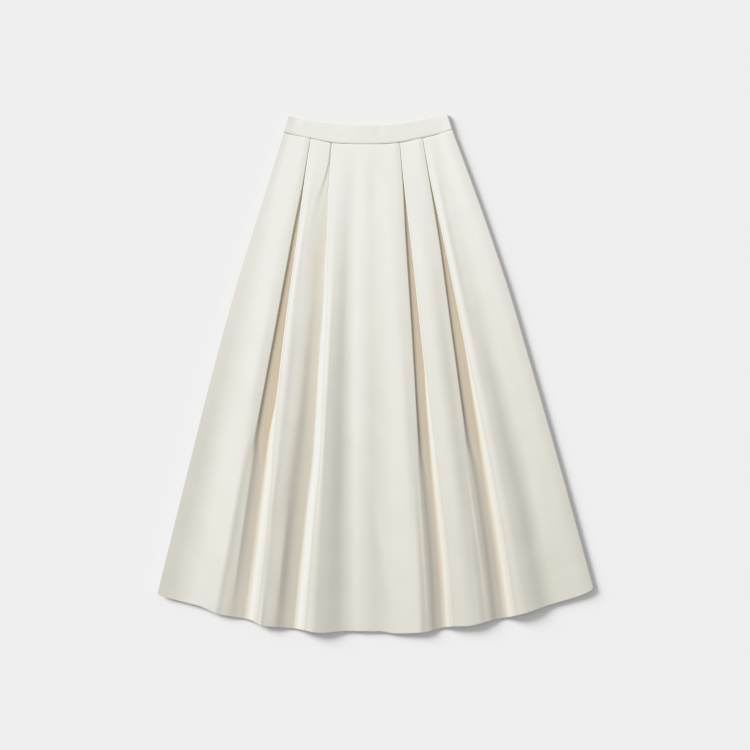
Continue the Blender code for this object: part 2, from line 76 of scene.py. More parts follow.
world = bpy.data.worlds.new("studio")
bpy.context.scene.world = world
world.use_nodes = True
world_nodes, world_links = world.node_tree.nodes, world.node_tree.links
world_nodes.clear()
ambient = world_nodes.new("ShaderNodeBackground")
ambient.inputs["Color"].default_value = (1.0, 1.0, 1.0, 1.0)
ambient.inputs["Strength"].default_value = SKY_LIGHT
backdrop = world_nodes.new("ShaderNodeBackground")
backdrop.inputs["Color"].default_value = SKY_GREY
light_path = world_nodes.new("ShaderNodeLightPath")
world_mix = world_nodes.new("ShaderNodeMixShader")
world_out = world_nodes.new("ShaderNodeOutputWorld")
world_links.new(light_path.outputs["Is Camera Ray"], world_mix.inputs["Fac"])
world_links.new(ambient.outputs["Background"], world_mix.inputs[1])
world_links.new(backdrop.outputs["Background"], world_mix.inputs[2])
world_links.new(world_mix.outputs["Shader"], world_out.inputs["Surface"])
view_settings = bpy.context.scene.view_settings
view_settings.view_transform = "Standard"
view_settings.use_curve_mapping = True
tone = view_settings.curve_mapping.curves[3]
for (x, y), point in zip(TONE_CURVE, list(tone.points) + [None] * len(TONE_CURVE)):
    if point is None:
        tone.points.new(x, y)
    else:
        point.location = (x, y)
view_settings.curve_mapping.extend = "HORIZONTAL"
view_settings.curve_mapping.update()

floor_mesh = bpy.data.meshes.new("floor")
half = FLOOR_SIZE / 2
floor_mesh.from_pydata([(-half, -half, -FLOOR_DROP), (half, -half, -FLOOR_DROP),
                        (half, half, -FLOOR_DROP), (-half, half, -FLOOR_DROP)], [], [(0, 1, 2, 3)])
floor = bpy.data.objects.new("floor", floor_mesh)
bpy.context.scene.collection.objects.link(floor)
floor_material = bpy.data.materials.new("pale_floor")
floor_material.use_nodes = True
floor_shader = floor_material.node_tree.nodes["Principled BSDF"]
floor_shader.inputs["Base Color"].default_value = FLOOR_GREY
floor_shader.inputs["Roughness"].default_value = 1.0
floor_shader.inputs["Specular IOR Level"].default_value = 0.0
floor_mesh.materials.append(floor_material)


# Front panel. One A-shaped piece of ivory crepe suiting. Four inverted pleats are pressed into it,
# stitched down below the waist and open towards the hem. It is sewn to the band and the side seams.

# It is drawn as a fan: angles are measured about the point where the side lines meet, and "down" is
# the distance below the waist seam. Lengths and heights are in millimetres, angles in degrees.
FAN_CENTRE = (-23.35, 981.75)
WAIST_RADIUS = 557.2
SKIRT_LENGTH = 900.0
BAND_DEPTH = 35.0
CLOTH = 1.0  # the cloth as it is seen
CLOTH_ROOM = 1.2  # and the room that it takes with its nap
SEAM_GAP = 0.3
FOLD = 0.62  # radius of a pressed fold
SIDE_SEAM_HEIGHT = 4.15  # where the front meets the back
SEAM_STAND = 0.3  # the cloth stands straight up over this height above the side seam
SIDE_REACH = 4.0  # and turns over with a corner that starts this far from its point
HEM_CORNER = 9.0  # rounding of the hem's two corners
HEM_CORNER_SHARE = 0.8  # and how much of a quarter circle it makes
SLOPE_SETTLED = 10.0  # a side of a pleat that has opened this far is all slope
SLOPE_EASE = 0.2  # its soft ends reach past it by this share of its width
SLOPE_EASE_MOST = 6.0  # but no further than this
SLOPE_STEP = 0.2  # and fall by this share of its height
SLOPE_LEAN = 0.3  # over this share of its width
CREST_WIDTH = 3.0  # the cloth is level over this width beside a right fold
WIDE_ROLL = (9.0, 0.32)  # and rolls down towards a left fold, over this width and by this
NARROW_ROLL = (5.0, 0.08)  # share of the fold's height. The second is for the narrow panel
SIDE_COUNTS = (2, 4, 14)  # points in each stretch of the left side, in a soft fold's stretch,
SOFT_COUNT = 12  # and in each stretch of a pleat, from the left
PLEAT_COUNTS = (8, 5, 8, 5, 12, 5, 8, 5, 8, 14)
RIGHT_COUNTS = (6, 4, 2)  # and in each stretch of the right side
CORNER_POINTS = 9  # points that draw half a rounded corner
SIDE_SEAM_PAINTED_SHADE = 0.3  # painted shade at the side seams
PLEAT_PAINTED_SHADE = (0.0, 0.05, 0.3, 0.5, 0.6, 1.0, 0.85, 0.5, 0.2, 0.0)  # shares of a pleat's painted shade at its corners
FRONT_ROWS, ROW_GROWTH = 80, 1.2  # rows of points down the front, closer at the waist
FRONT_ROW_SPACE = (3.0, 5.0)  # between these rows and the ones near the two edges
EDGE_ROWS = (0.03, 0.3, 0.8, 1.5, 2.5, 4.0, 6.0)  # rows close to the waist seam, and to the hem
HEM_ROWS = (0.12, 0.35, 0.7, 1.2, 2.2, 3.4, 4.4, 5.4, 7.0)
ROUND_OFF = ((0.0, 0.35), (0.3, 0.72), (0.7, 0.94), (1.2, 1.0))  # distance from edge, share of wall
SEAM_LINE = 0.03  # the waist seam's two cloths are pressed to this far from its middle
SEWN_ROUND = 0.45  # and are rounded there by this share of a free edge's rounding
SEAM_ROLL, SEAM_ROLL_REACH = 0.5, 3.5  # the cloth dips into the seam, by this over this width
DIP_HEIGHTS = (5.0, 3.4)  # fully above the first height, and not at all below the second
SEAM_PAINTED_SHADE, SEAM_SHADE_REACH = 0.5, 1.4  # and warm, darker shade is painted into that ditch
HEM_TURNED, HEM_TURN_EASE = 4.6, 0.6  # the turned hem is this deep, with an edge this soft
HEM_EXTRA = 0.45  # and makes the cloth this much thicker inside
HEM_EXTRA_SIDES = (14, 8)  # fully from the first distance to a side, not within the second

# Side lines. Columns: down, left and right angle, height of the rounded left side and right side
SIDES = (
    (0, -15.38, 17.40, 6.4, 6.4),
    (70, -15.55, 17.75, 6.4, 6.4),
    (180, -15.85, 18.08, 6.6, 6.4),
    (300, -16.05, 18.18, 7.2, 6.5),
    (450, -15.98, 17.95, 8.6, 6.6),
    (640, -15.72, 17.66, 9.8, 6.7),
    (900, -15.38, 17.26, 9.6, 6.7),
)
RIGHT_ROLL = (15.0, 1.2)  # the right side rolls down over this width, by this much

# Waist lines. Columns: angle, radius of the waist seam, radius of the waistband's top edge
WAIST = (
    (-15.4, 555.0, 523.0),
    (-9.5, 555.0, 521.8),
    (-5.5, 557.4, 521.8),
    (0.0, 557.2, 521.8),
    (6.0, 558.4, 523.0),
    (11.5, 557.0, 523.4),
    (15.0, 556.8, 523.8),
    (17.4, 556.2, 525.4),
)

# Hem line. Columns: angle, radius from the fan's centre
HEM = (
    (-15.4, 1441.5),
    (-12.2, 1443.0),
    (-10.3, 1451.0),
    (-8.3, 1451.5),
    (-7.2, 1459.5),
    (-4.8, 1458.5),
    (-3.2, 1463.0),
    (-1.0, 1458.0),
    (1.2, 1458.5),
    (2.4, 1463.5),
    (4.3, 1464.5),
    (6.3, 1458.5),
    (7.9, 1461.5),
    (9.6, 1457.5),
    (11.7, 1456.5),
    (14.0, 1451.0),
    (16.0, 1449.5),
    (17.4, 1445.5),
)

# Soft folds that run down the front. Each has its angle and then its height at these distances down
SOFT_DOWN = (0, 110, 250, 450, 650, 900)
SOFT_FOLDS = {
    "left_trough": ((-14.2, -14.4, -14.0, -13.6, -13.6, -13.4), (5.3, 5.3, 4.9, 4.2, 4.2, 4.4)),
    "left_crest": ((-12.2, -11.7, -11.5, -11.3, -11.35, -11.5), (5.6, 6.0, 6.5, 7.2, 8.2, 8.2)),
    "left_middle": ((-8.2, -8.7, -8.7, -8.1, -7.75, -7.4), (5.5, 6.2, 7.8, 10.4, 12.0, 11.8)),
    "inner_crest": ((-4.4, -4.2, -4.0, -3.75, -3.65, -3.6), (5.6, 6.6, 9.0, 12.4, 14.2, 14.4)),
    "inner_slope": ((-3.3, -3.2, -3.1, -3.0, -2.8, -2.7), (5.9, 6.2, 7.8, 10.2, 11.6, 11.4)),
    "centre_trough_left": ((-1.4, -1.8, -1.7, -1.5, -1.35, -1.1), (6.2, 4.9, 4.2, 3.8, 3.8, 4.0)),
    "centre_crest": ((0.6, 0.3, 0.1, 0.0, 0.1, 0.2), (6.4, 6.0, 6.2, 6.6, 6.6, 6.4)),
    "centre_trough_right": ((2.4, 2.3, 2.2, 2.1, 1.9, 1.7), (6.2, 5.4, 5.0, 4.6, 4.6, 4.8)),
    "centre_crest_right": ((4.3, 4.3, 4.3, 4.3, 4.1, 3.7), (5.7, 6.2, 6.7, 7.6, 9.0, 9.4)),
    "right_middle": ((8.9, 8.8, 8.7, 8.5, 8.3, 7.8), (5.5, 6.2, 8.1, 10.5, 12.2, 12.2)),
    "right_crest": ((12.6, 12.4, 12.3, 12.3, 12.2, 11.9), (5.6, 6.8, 9.0, 12.0, 14.0, 13.8)),
    "right_slope": ((13.4, 13.1, 13.0, 13.0, 12.95, 12.6), (5.6, 5.7, 7.2, 10.4, 12.0, 12.0)),
    "right_trough": ((14.6, 14.6, 14.5, 14.3, 14.2, 13.8), (5.4, 5.4, 5.6, 5.6, 5.6, 5.8)),
}

# Pleats. Columns: down, angle of the left fold, opening between the folds, cloth turned back under
# the left and under the right fold (less than nothing where that side has opened into a slope),
# height of the underlay, height of the left fold and of the right fold, painted shade inside
OUTER_LEFT_PLEAT = (
    (0, -9.93, 0.0, 15, 12, 2.6, 5.3, 5.4, 0.2),
    (72, -9.9, 1.3, 16, 13, 2.6, 5.2, 5.5, 0.6),
    (183, -10.1, 9, 15, 12, 2.7, 5.25, 6.2, 0.85),
    (331, -10.16, 15.5, 12, 9, 2.8, 5.4, 7.8, 1.0),
    (479, -10.22, 25.5, 4, 1, 2.9, 5.7, 10.2, 1.0),
    (560, -10.24, 31.5, -4, -6, 2.9, 6.6, 11.2, 1.0),
    (627, -10.24, 39, -18, -10, 2.9, 7.4, 11.8, 0.9),
    (775, -10.15, 49, -26.3, -14, 3.1, 8.0, 12.0, 0.75),
    (900, -10.15, 57, -31, -16, 3.3, 7.8, 11.2, 0.6),
)
INNER_LEFT_PLEAT = (
    (0, -5.97, 1.6, -1.5, 15, 2.6, 5.0, 5.4, 0.0),
    (30, -5.97, 2.4, -2.2, 14, 2.6, 5.0, 5.5, 0.05),
    (55, -6.16, 5.3, -5, 13, 2.6, 5.0, 5.6, 0.1),
    (81, -6.57, 11.8, -11, 12, 2.6, 5.1, 5.8, 0.15),
    (110, -7.08, 19.8, -18, 9, 2.5, 5.4, 6.2, 0.25),
    (145, -7.39, 26.3, -24, 7, 2.5, 5.8, 6.7, 0.35),
    (183, -7.48, 30.8, -28, 4, 2.6, 6.2, 7.2, 0.4),
    (331, -6.9, 37, -26, -4, 2.7, 7.2, 9.6, 0.55),
    (479, -6.85, 46.5, -32, -7, 2.8, 8.8, 12.2, 0.65),
    (627, -7.1, 60, -42, -9, 2.9, 11.0, 13.6, 0.7),
    (775, -6.9, 60, -38.5, -12, 3.1, 11.0, 13.8, 0.7),
    (900, -6.83, 63, -39, -14, 3.2, 10.6, 13.4, 0.65),
)
INNER_RIGHT_PLEAT = (
    (0, 7.12, 0.0, 14, 14, 2.6, 5.3, 5.4, 0.2),
    (60, 6.86, 0.8, 14, 14, 2.6, 5.2, 5.5, 0.8),
    (183, 6.24, 8.5, 14, 12, 2.7, 5.25, 6.2, 1.0),
    (331, 5.84, 14.5, 11, 5, 2.8, 5.4, 8.0, 1.0),
    (479, 5.48, 22, 4, -3, 2.9, 5.7, 9.6, 1.0),
    (560, 5.32, 26.5, -2, -6, 2.9, 6.4, 10.2, 1.0),
    (627, 5.18, 31, -11, -9, 2.9, 7.2, 10.6, 1.0),
    (775, 5.02, 38.5, -18, -13, 3.2, 8.4, 11.2, 1.0),
    (900, 4.78, 43, -20, -15, 3.4, 8.6, 11.0, 0.95),
)
OUTER_RIGHT_PLEAT = (
    (0, 11.55, 0.0, 14, 14, 2.6, 5.3, 5.4, 0.2),
    (76, 11.25, 1.1, 14, 14, 2.6, 5.2, 5.5, 0.8),
    (183, 10.97, 7, 14, 12, 2.7, 5.25, 6.6, 0.95),
    (331, 10.44, 16.5, 11, 3, 2.8, 5.5, 9.0, 1.0),
    (479, 10.06, 26, 3, -4, 2.9, 6.0, 11.4, 1.0),
    (560, 9.88, 31, -4, -7, 2.9, 7.0, 12.6, 1.0),
    (627, 9.76, 35, -14, -11, 2.9, 7.6, 13.2, 1.0),
    (775, 9.48, 42, -20, -14, 3.2, 8.6, 13.4, 1.0),
    (900, 9.16, 48, -23, -16, 3.4, 9.0, 13.0, 0.9),
)

# Small soft creases, pressed lines among them. Columns: angle and down at the top end, the same at
# the bottom end, half width, height (a trough where it is less than nothing)
CREASE_HEIGHTS = (5.2, 4.4)  # fully on cloth above the first height, and none below the second
CREASE_FADE = 0.7  # how soon a crease rises from its ends: less is sooner
CREASES = (
    (-10.15, 560, -9.7, 880, 3.0, 0.6),
    (-6.4, 660, -6.3, 895, 6.0, 0.8),
    (5.15, 580, 4.85, 890, 3.0, 0.5),
    (9.6, 600, 9.3, 890, 3.0, 0.5),
    (-1.2, 40, -0.4, 170, 12, -0.35),
    (2.2, 25, 1.6, 150, 12, -0.3),
    (0.4, 600, 2.3, 880, 12, -0.45),
    (14.0, 300, 15.9, 520, 15, 0.45),
    (15.2, 560, 13.9, 800, 14, -0.4),
)


def eased(table, position):
    """The other columns of a table at values of its first column, eased without overshoot."""
    rows = np.array(table, dtype=float)
    stops, values = rows[:, 0], rows[:, 1:]
    steps = np.diff(stops)[:, None]
    rises = np.diff(values, axis=0) / steps
    product = rises[:-1] * rises[1:]
    total = rises[:-1] + rises[1:]
    slopes = np.zeros_like(values)
    slopes[0], slopes[-1] = rises[0], rises[-1]
    slopes[1:-1] = np.where(product > 0, 2 * product / np.where(product > 0, total, 1), 0)
    position = np.clip(position, stops[0], stops[-1])
    k = np.minimum(np.searchsorted(stops, position, side="right") - 1, len(stops) - 2)
    u = ((position - stops[k]) / steps[k, 0])[..., None]
    swing = steps[k] * (u * (1 - u) ** 2 * slopes[k] - u * u * (1 - u) * slopes[k + 1])
    return values[k] + (values[k + 1] - values[k]) * u * u * (3 - 2 * u) + swing


def ramp(value, full, none):
    """1 on the full side, 0 on the other, eased between."""
    u = np.clip((value - none) / (full - none), 0.0, 1.0)
    return u * u * (3 - 2 * u)


def place(along, down, height, setback=0.0):
    """Points in metres, from their distance along the arc of their row, their distance down from
    the waist seam (less than nothing in the waistband), and their height."""
    turn = along / (WAIST_RADIUS + down)
    degrees = np.degrees(turn)
    seam, band_top = np.moveaxis(eased(WAIST, degrees), -1, 0)
    hem = eased(HEM, degrees)[..., 0] - setback
    below = seam + down / SKIRT_LENGTH * (hem - seam)
    above = seam + down / BAND_DEPTH * (seam - band_top)
    radius = np.where(down > 0, below, above)
    x = FAN_CENTRE[0] + radius * np.sin(turn)
    y = FAN_CENTRE[1] - radius * np.cos(turn)
    return np.stack((x, y, height), axis=-1) * MM


def corner_curve(corners):
    """A finely drawn line for each stretch between the middles of two rounded corners. A corner is
    (along, height, reach, ...), and the two ends are corners without reach."""
    points = np.array([corner[:2] for corner in corners])
    sides = np.diff(points, axis=0)
    lengths = np.linalg.norm(sides, axis=1)
    reach = np.array([corner[2] for corner in corners])
    reach[1:-1] = np.minimum(reach[1:-1], 0.5 * np.minimum(lengths[:-1], lengths[1:]))
    units = sides / lengths[:, None]
    u = np.linspace(0.5, 1, CORNER_POINTS)[:, None]
    lines = []
    for i in range(len(points) - 1):
        line = []
        if i:
            start, end = points[i] - units[i - 1] * reach[i], points[i] + units[i] * reach[i]
            line.append(start * (1 - u) ** 2 + 2 * points[i] * u * (1 - u) + end * u * u)
        else:
            line.append(points[:1])
        if i < len(points) - 2:
            here = points[i + 1]
            start, end = here - units[i] * reach[i + 1], here + units[i + 1] * reach[i + 1]
            v = u - 0.5
            line.append(start * (1 - v) ** 2 + 2 * here * v * (1 - v) + end * v * v)
        else:
            line.append(points[-1:])
        lines.append(np.vstack(line))
    return lines


def section_line(corners):
    """A cross-section's points and their painted shade. Corners are (along, height, reach, kind,
    count, painted shade), where count is that of the stretch that follows. The points of a stretch
    crowd towards the ends that are pressed folds."""
    line, painted_shade = [], []
    for i, stretch in enumerate(corner_curve(corners)):
        count = corners[i][4]
        crisp_start, crisp_end = corners[i][3] == "fold", corners[i + 1][3] == "fold"
        t = np.arange(count) / count
        if crisp_start and crisp_end:
            t = 0.5 - 0.5 * np.cos(np.pi * t)
        elif crisp_start:
            t = 1 - np.cos(0.5 * np.pi * t)
        elif crisp_end:
            t = np.sin(0.5 * np.pi * t)
        run = np.concatenate(([0], np.cumsum(np.linalg.norm(np.diff(stretch, axis=0), axis=1))))
        at = t * run[-1]
        line.append(np.column_stack([np.interp(at, run, stretch[:, axis]) for axis in (0, 1)]))
        painted_shade.append(corners[i][5] + (corners[i + 1][5] - corners[i][5]) * t)
    line.append(np.array([corners[-1][:2]]))
    painted_shade.append(np.array([corners[-1][5]]))
    return np.vstack(line), np.concatenate(painted_shade)


def pleat_side(edge, under, low, top, outward, roll):
    """Five corners from the panel beside a fold down to its underlay, which lies on the side that
    outward (1 or -1) points to. Cloth turned back (under) makes a Z, and less than nothing makes a
    slope with soft ends."""
    slope = max(-under, 0.0)
    ease = min(SLOPE_EASE * slope, SLOPE_EASE_MOST)
    openness = min(slope / SLOPE_SETTLED, 1.0)
    turn = 2 * FOLD
    step = turn + max(SLOPE_STEP * (top - low) - turn, 0.0) * openness
    foot = edge - outward * under
    lean = outward * SLOPE_LEAN * slope
    reach = FOLD + slope
    roll_width, roll_share = roll
    return [
        (edge - outward * (ease + roll_width), top + roll_share * (top - low), roll_width),
        (edge - outward * ease, top, reach),
        (edge + lean, top - step, reach),
        (foot - lean, low + step, reach),
        (foot + outward * ease, low, reach),
    ]


def pleat_corners(table, down, roll=WIDE_ROLL):
    """Ten corners of a pleat, from the panel on its left to the panel on its right. Each has its
    stretch's count of points and its painted shade."""
    values = eased(table, np.float64(down))
    angle, opening, under_left, under_right, low, left_top, right_top, inner_painted_shade = values
    left = math.radians(angle) * (WAIST_RADIUS + down) - CLOTH_ROOM / 2
    right = left + CLOTH_ROOM + opening
    corners = pleat_side(left, under_left, low, left_top, 1, roll)
    corners += pleat_side(right, under_right, low, right_top, -1, (CREST_WIDTH, 0.0))[::-1]
    return [(*corner, "fold", count, share * inner_painted_shade)
            for corner, count, share in zip(corners, PLEAT_COUNTS, PLEAT_PAINTED_SHADE)]


def front_corners(down):
    """Corners of the front's cross-section, from the left side seam to the right one."""
    radius = WAIST_RADIUS + down
    left_angle, right_angle, left_top, right_top = eased(SIDES, np.float64(down))
    left = math.radians(left_angle) * radius + CLOTH_ROOM / 2
    right = math.radians(right_angle) * radius - CLOTH_ROOM / 2
    seam = SIDE_SEAM_HEIGHT + SEAM_GAP / 2
    stand = seam + SEAM_STAND

    def soft(*names):
        corners = []
        for name in names:
            angles, heights = SOFT_FOLDS[name]
            angle = eased(list(zip(SOFT_DOWN, angles)), np.float64(down))[0]
            height = eased(list(zip(SOFT_DOWN, heights)), np.float64(down))[0]
            corners.append((math.radians(angle) * radius, height, radius, "soft", SOFT_COUNT, 0.0))
        return corners

    return (
        [(left, seam, 0, "soft", SIDE_COUNTS[0], SIDE_SEAM_PAINTED_SHADE),
         (left, stand, 0, "soft", SIDE_COUNTS[1], SIDE_SEAM_PAINTED_SHADE),
         (left, left_top, SIDE_REACH, "fold", SIDE_COUNTS[2], 0.0)]
        + soft("left_trough", "left_crest")
        + pleat_corners(OUTER_LEFT_PLEAT, down)
        + soft("left_middle")
        + pleat_corners(INNER_LEFT_PLEAT, down, NARROW_ROLL)
        + soft("inner_crest", "inner_slope", "centre_trough_left", "centre_crest")
        + soft("centre_trough_right", "centre_crest_right")
        + pleat_corners(INNER_RIGHT_PLEAT, down)
        + soft("right_middle")
        + pleat_corners(OUTER_RIGHT_PLEAT, down)
        + soft("right_crest", "right_slope", "right_trough")
        + [(right - RIGHT_ROLL[0], right_top + RIGHT_ROLL[1], RIGHT_ROLL[0], "soft",
            RIGHT_COUNTS[0], 0.0),
           (right, right_top, SIDE_REACH, "fold", RIGHT_COUNTS[1], 0.0),
           (right, stand, 0, "soft", RIGHT_COUNTS[2], SIDE_SEAM_PAINTED_SHADE),
           (right, seam, 0, "soft", 0, SIDE_SEAM_PAINTED_SHADE)]
    )


def offset_lines(lines, distance):
    """Rows of section points moved sideways, to their left for a distance above nothing."""
    runs = np.diff(lines, axis=1)
    runs = runs / np.linalg.norm(runs, axis=2)[..., None]
    sides = np.stack((-runs[..., 1], runs[..., 0]), axis=-1)
    before = np.concatenate((sides[:, :1], sides), axis=1)
    after = np.concatenate((sides, sides[:, -1:]), axis=1)
    middle = before + after
    middle = middle * (2 / np.maximum(np.sum(middle * middle, axis=2), 0.5))[..., None]
    return lines + middle * distance[..., None]


def edge_share(distance):
    """Share of the wall that is left at a distance from a cut or folded edge, which is rounded."""
    return np.interp(distance, *zip(*ROUND_OFF))


def along_section(lines):
    """Distance along the cloth from the left end of its section, at each section point."""
    steps = np.linalg.norm(np.diff(lines, axis=1), axis=2)
    return np.concatenate((np.zeros((len(lines), 1)), np.cumsum(steps, axis=1)), axis=1)


def cloth_wall(name, downs, lines, painted_shade, upper, lower, setback=0.0):
    """A closed cloth wall through rows of section points, with its thickness above and below each.
    It gets a UV map in metres that follows the cloth, and an attribute of painted shade."""
    rows, count = lines.shape[:2]
    down = np.repeat(np.asarray(downs)[:, None], count, axis=1)
    top, bottom = offset_lines(lines, upper), offset_lines(lines, -lower)
    points = np.concatenate((place(top[..., 0], down, top[..., 1], setback),
                             place(bottom[..., 0], down, bottom[..., 1], setback)[:, ::-1]), axis=1)
    ring = 2 * count
    index = np.arange(rows * ring).reshape(rows, ring)
    after = np.roll(index, -1, axis=1)
    walls = np.stack((index[:-1], after[:-1], after[1:], index[1:]), axis=-1).reshape(-1, 4)
    near = np.arange(count - 1)
    first = np.stack((index[0, near], index[0, ring - 1 - near], index[0, ring - 2 - near],
                      index[0, near + 1]), axis=-1)
    last = np.stack((index[-1, near], index[-1, near + 1], index[-1, ring - 2 - near],
                     index[-1, ring - 1 - near]), axis=-1)
    faces = np.concatenate((walls, first, last))
    mesh = bpy.data.meshes.new(name)
    mesh.from_pydata(points.reshape(-1, 3), [], faces)
    mesh.validate()
    run = along_section(lines)
    across = run - run[:, count // 2:count // 2 + 1]
    flat = np.stack((np.concatenate((across, across[:, ::-1]), axis=1),
                     np.concatenate((down, down), axis=1)), axis=-1).reshape(-1, 2) * MM
    corners = np.empty(len(mesh.loops), dtype=np.int32)
    mesh.loops.foreach_get("vertex_index", corners)
    uv = mesh.uv_layers.new(name="cloth")
    uv.data.foreach_set("uv", flat[corners].ravel())
    shade = mesh.attributes.new("painted_shade", "FLOAT", "POINT")
    shade.data.foreach_set("value", np.concatenate((painted_shade, painted_shade[:, ::-1]), axis=1).ravel())
    mesh.shade_smooth()
    piece = bpy.data.objects.new(name, mesh)
    bpy.context.scene.collection.objects.link(piece)
    return piece


first_row = EDGE_ROWS[-1] + FRONT_ROW_SPACE[0]
last_row = SKIRT_LENGTH - HEM_ROWS[-1] - FRONT_ROW_SPACE[1]
inner_rows = first_row + (last_row - first_row) * np.linspace(0, 1, FRONT_ROWS) ** ROW_GROWTH
front_downs = np.concatenate((EDGE_ROWS, inner_rows, SKIRT_LENGTH - np.array(HEM_ROWS)[::-1],
                              [SKIRT_LENGTH]))
front_lines, front_painted_shade = zip(*(section_line(front_corners(down)) for down in front_downs))
front_lines, front_painted_shade = np.array(front_lines), np.array(front_painted_shade)


def crease_relief(lines, downs, creases):
    """Height that the small creases add at each section point."""
    angle = np.degrees(lines[..., 0] / (WAIST_RADIUS + np.asarray(downs))[:, None])
    down = np.asarray(downs)[:, None]
    relief = np.zeros(angle.shape)
    for top_angle, top, bottom_angle, bottom, half_width, height in creases:
        share = np.clip((down - top) / (bottom - top), 0, 1)
        middle = top_angle + (bottom_angle - top_angle) * share
        across = np.radians(angle - middle) * (WAIST_RADIUS + down) / half_width
        length = np.where((down > top) & (down < bottom), np.sin(np.pi * share) ** CREASE_FADE, 0)
        relief += height * length * np.exp(-across * across)
    return relief


def seam_dip(heights, down):
    """How far the cloth of the upper side dips into the waist seam."""
    return SEAM_ROLL * ramp(np.abs(down), 0.0, SEAM_ROLL_REACH) * ramp(heights, *DIP_HEIGHTS)


def wall_share(lines, downs, top, bottom, top_round=1.0, bottom_round=1.0):
    """Share of the wall at each section point, where all four edges of a piece are rounded."""
    run, down = along_section(lines), np.asarray(downs)[:, None]
    side = np.minimum(run, run[:, -1:] - run)
    top_loss = top_round * (1 - edge_share(down - top))
    return edge_share(side) * (1 - top_loss) * (1 - bottom_round * (1 - edge_share(bottom - down)))


on_top = ramp(front_lines[..., 1], *CREASE_HEIGHTS) * (1 - front_painted_shade)
front_lines[..., 1] += crease_relief(front_lines, front_downs, CREASES) * on_top
front_lines[..., 1] -= seam_dip(front_lines[..., 1], front_downs[:, None])
# Painted shade, warm and darker, in the ditch of the waist seam.
seam_painted_shade = SEAM_PAINTED_SHADE * ramp(front_downs[:, None], 0.0, SEAM_SHADE_REACH)
front_painted_shade = np.maximum(front_painted_shade, seam_painted_shade)
hem_distance = SKIRT_LENGTH - front_downs[:, None]
front_run = along_section(front_lines)
side_distance = np.minimum(front_run, front_run[:, -1:] - front_run)
inner_extra = HEM_EXTRA * ramp(hem_distance, HEM_TURNED - HEM_TURN_EASE, HEM_TURNED + HEM_TURN_EASE)
inner_extra = inner_extra * ramp(side_distance, *HEM_EXTRA_SIDES)
hem_along = front_lines[-1:, :, 0]
from_corner = np.minimum(hem_along - hem_along.min(), hem_along.max() - hem_along)
corner_depth = np.clip(HEM_CORNER - from_corner, 0, None)
hem_corners = HEM_CORNER - np.sqrt(HEM_CORNER ** 2 - corner_depth ** 2)
front_share = wall_share(front_lines, front_downs, SEAM_LINE, SKIRT_LENGTH, SEWN_ROUND)
front_upper = CLOTH / 2 * front_share
front = cloth_wall("skirt_front", front_downs, front_lines, front_painted_shade, front_upper,
                   (CLOTH / 2 + inner_extra) * front_share, HEM_CORNER_SHARE * hem_corners)


def shader_group(name, inputs, outputs):
    """An empty node group with its sockets. Each is (name, kind) or (name, kind, value)."""
    group = bpy.data.node_groups.new(name, "ShaderNodeTree")
    for socket in inputs:
        made = group.interface.new_socket(socket[0], in_out="INPUT", socket_type=socket[1])
        if len(socket) > 2:
            made.default_value = socket[2]
    for socket in outputs:
        group.interface.new_socket(socket[0], in_out="OUTPUT", socket_type=socket[1])
    return group, group.nodes.new("NodeGroupInput"), group.nodes.new("NodeGroupOutput")


def math_node(nodes, links, operation, *values):
    """The result of a sum on values, each a number or another node's output."""
    node = nodes.new("ShaderNodeMath")
    node.operation = operation
    for socket, value in zip(node.inputs, values):
        if isinstance(value, (int, float)):
            socket.default_value = value
        else:
            links.new(value, socket)
    return node.outputs[0]


def colour_mix(nodes, links, factor, first, second):
    """A mix of two colours, each a colour or another node's output."""
    mix = nodes.new("ShaderNodeMix")
    mix.data_type = "RGBA"
    links.new(factor, mix.inputs["Factor"])
    for socket, colour in (("A", first), ("B", second)):
        if isinstance(colour, tuple):
            mix.inputs[socket].default_value = colour
        else:
            links.new(colour, mix.inputs[socket])
    return mix.outputs["Result"]


def noise_at(nodes, links, where, size, detail):
    """A soft noise on the positions where, with spots of about size, which is a node's output."""
    noise = nodes.new("ShaderNodeTexNoise")
    noise.inputs["Detail"].default_value = detail
    links.new(where, noise.inputs["Vector"])
    links.new(math_node(nodes, links, "DIVIDE", 1.0, size), noise.inputs["Scale"])
    return noise.outputs["Fac"]


def crepe_weave_group():
    """The weave's height, from crossing yarns and the crepe's pebbled twist, and faint clouds."""
    group, start, end = shader_group("crepe_weave", (
        ("Cloth", "NodeSocketVector"), ("Yarn Pitch", "NodeSocketFloat", 0.0006),
        ("Pebble Size", "NodeSocketFloat", 0.0011), ("Cloud Size", "NodeSocketFloat", 0.06)),
        (("Height", "NodeSocketFloat"), ("Clouds", "NodeSocketFloat")))
    nodes, links = group.nodes, group.links
    yarn_scale = math_node(nodes, links, "DIVIDE", 2 * math.pi / 20, start.outputs["Yarn Pitch"])
    yarns = []
    for axis in ("X", "Y"):
        wave = nodes.new("ShaderNodeTexWave")
        wave.bands_direction = axis
        wave.inputs["Distortion"].default_value = 0.6
        wave.inputs["Detail Scale"].default_value = 2.0
        links.new(start.outputs["Cloth"], wave.inputs["Vector"])
        links.new(yarn_scale, wave.inputs["Scale"])
        yarns.append(wave.outputs["Fac"])
    weave = math_node(nodes, links, "MULTIPLY", *yarns)
    where = start.outputs["Cloth"]
    pebbles = noise_at(nodes, links, where, start.outputs["Pebble Size"], 2.0)
    clouds = noise_at(nodes, links, where, start.outputs["Cloud Size"], 3.0)
    links.new(math_node(nodes, links, "ADD", weave, pebbles), end.inputs["Height"])
    links.new(clouds, end.inputs["Clouds"])
    return group


CREPE_WEAVE = crepe_weave_group()
IVORY_LIGHT = (0.828, 0.812, 0.735, 1.0)
